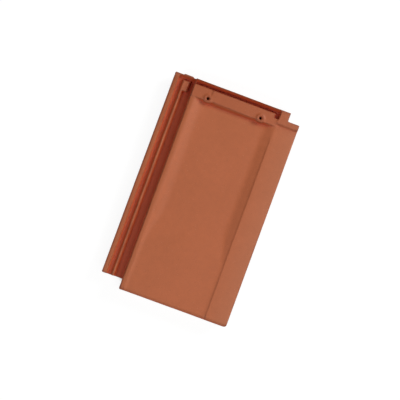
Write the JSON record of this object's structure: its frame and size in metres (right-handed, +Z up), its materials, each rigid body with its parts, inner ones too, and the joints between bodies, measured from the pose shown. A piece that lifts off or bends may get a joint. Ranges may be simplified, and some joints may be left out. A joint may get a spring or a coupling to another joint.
{
  "type": "interlocking roof tile",
  "caption": "Fired clay roof tile with a shallow trough, side and head water channels, a covering flap, nail holes in raised bosses and nibs that hook over a batten.",
  "frame": {"origin": "middle of the tile's overall box, at the level of the bed that the nibs and the nose lip lie on", "axes": "+X across the tile from the side lock to the flap, +Y along the tile from the nose to the head, +Z up out of the weather face"},
  "size_m": [0.281, 0.466, 0.0443],
  "materials": {
    "clay": "matt fired clay, brownish orange"
  },
  "bodies": {
    "root": {"tile": "clay"}
  },
  "joints": []
}
